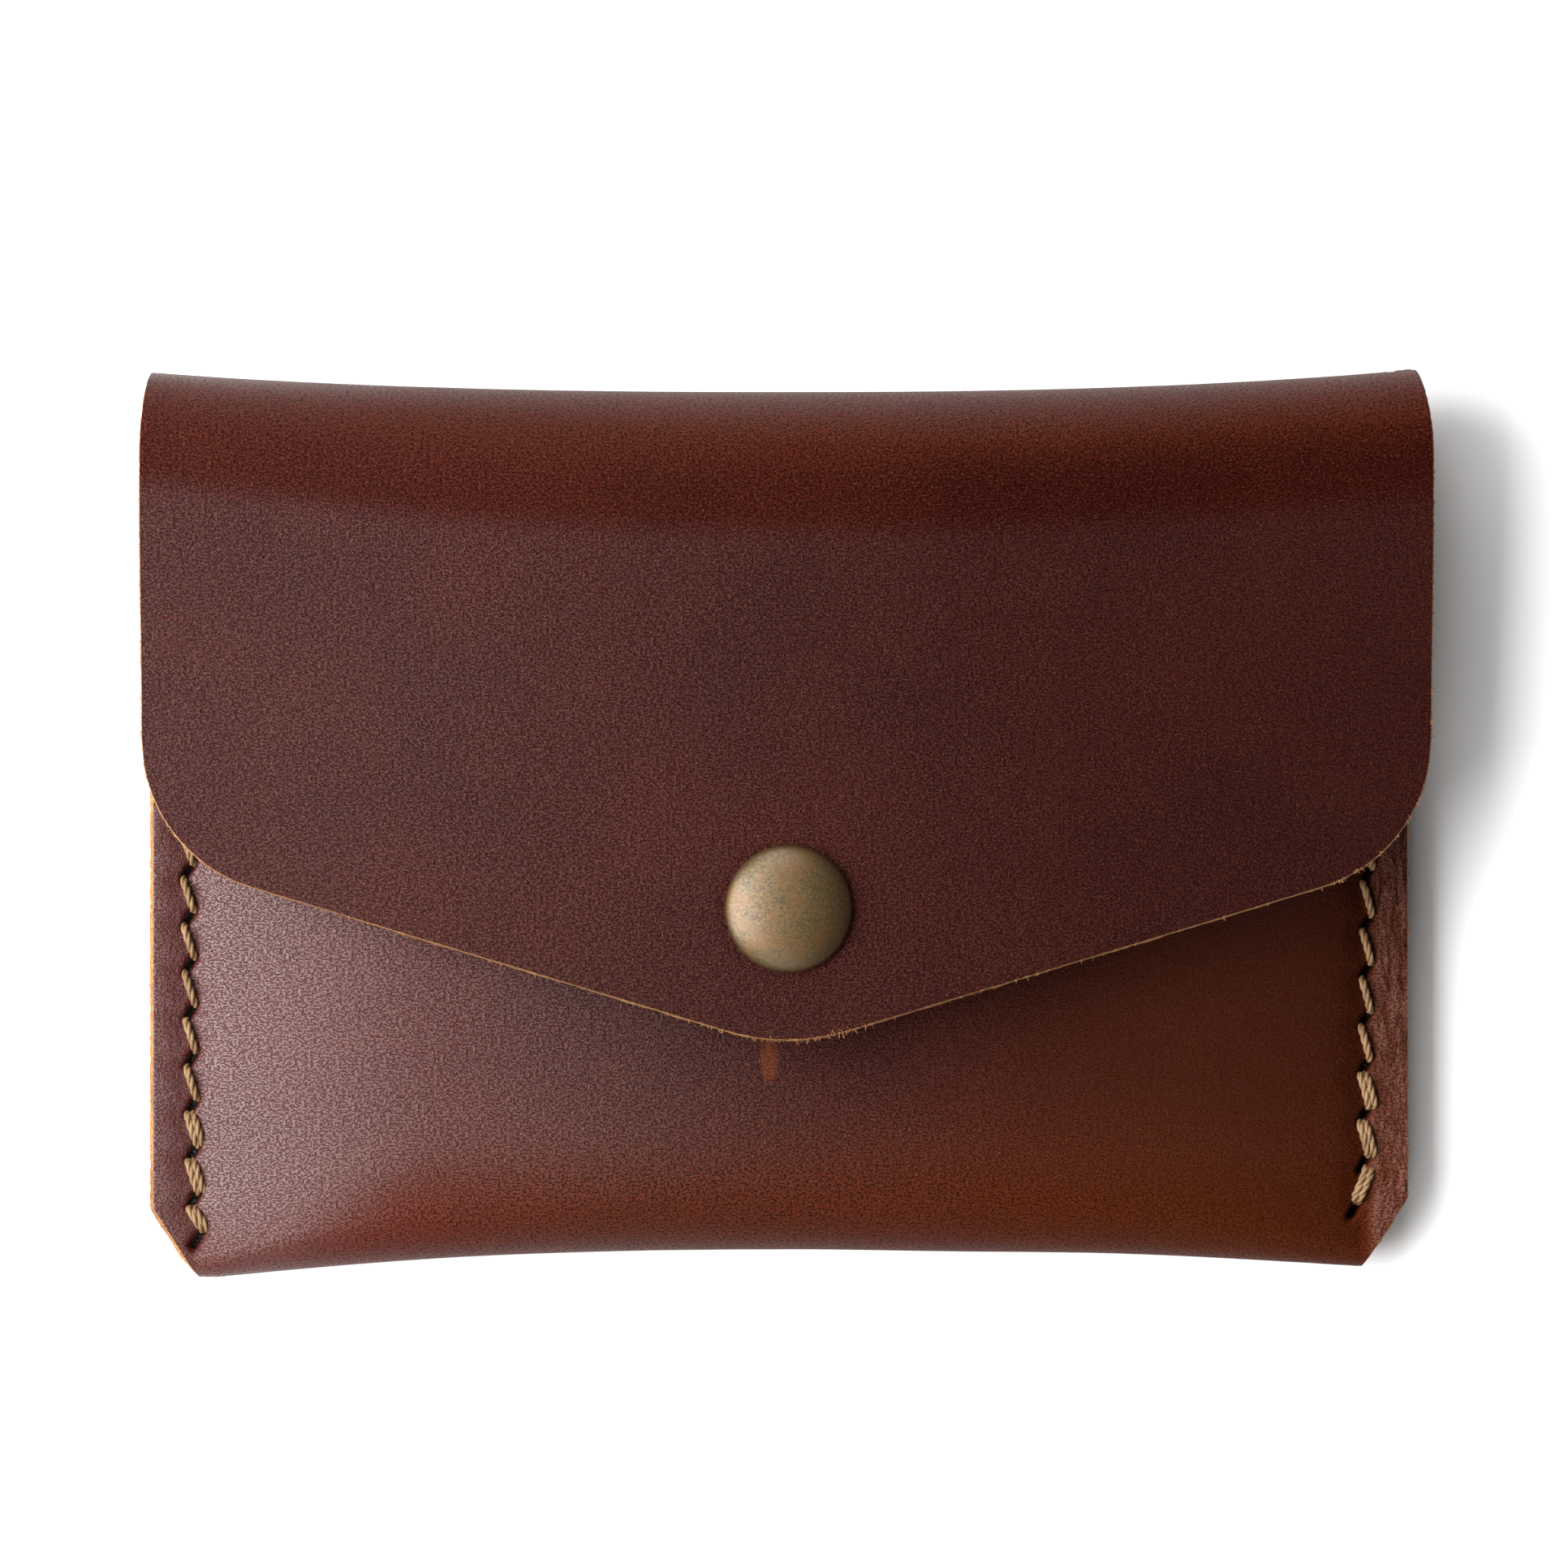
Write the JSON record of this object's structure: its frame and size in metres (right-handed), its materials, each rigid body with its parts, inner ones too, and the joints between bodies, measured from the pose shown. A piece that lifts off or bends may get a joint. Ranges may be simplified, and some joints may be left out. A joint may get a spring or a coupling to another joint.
{
  "type": "card holder",
  "caption": "Folded leather card holder with an open-topped pocket, hand-sewn sides and a pointed flap that closes over it with a snap.",
  "frame": {"origin": "centre of the closed holder's bounding box, on the plane that its back lies on", "axes": "+X along the flap's fold, the longest side, with the flap uppermost; +Y from the pocket's bottom fold to the flap's fold; +Z out of the back panel through the snap, the shortest side"},
  "size_m": [0.106, 0.0755, 0.0195],
  "materials": {
    "leather": "smooth chestnut vegetable-tanned leather with raw tan edges",
    "thread": "thick waxed tan thread, twisted from plies",
    "brass": "antique brass, satin and slightly mottled",
    "spring_wire": "plain drawn wire"
  },
  "bodies": {
    "pocket": {"pocket_shell": "leather", "left_seam_thread": "thread", "right_seam_thread": "thread", "snap_stud": "brass", "stud_eyelet": "brass"},
    "spine": {"fold_spine": "leather"},
    "flap": {"flap": "leather", "snap_cap": "brass", "cap_rivet": "brass", "snap_socket": "brass", "socket_spring_left": "spring_wire", "socket_spring_right": "spring_wire"}
  },
  "joints": [
    {"name": "back_fold", "type": "hinge", "parent": "pocket", "child": "spine", "pos_m": [0, 0.0348, 0.0011], "axis": [-1, 0, 0], "range_deg": [0, 68]},
    {"name": "flap_fold", "type": "hinge", "parent": "spine", "child": "flap", "pos_m": [0, 0.0353, 0.0131], "axis": [-1, 0, 0], "range_deg": [0, 102]}
  ],
  "couplings": [
    {"joint": "flap_fold", "follows": "back_fold", "ratio": 1.5}
  ]
}
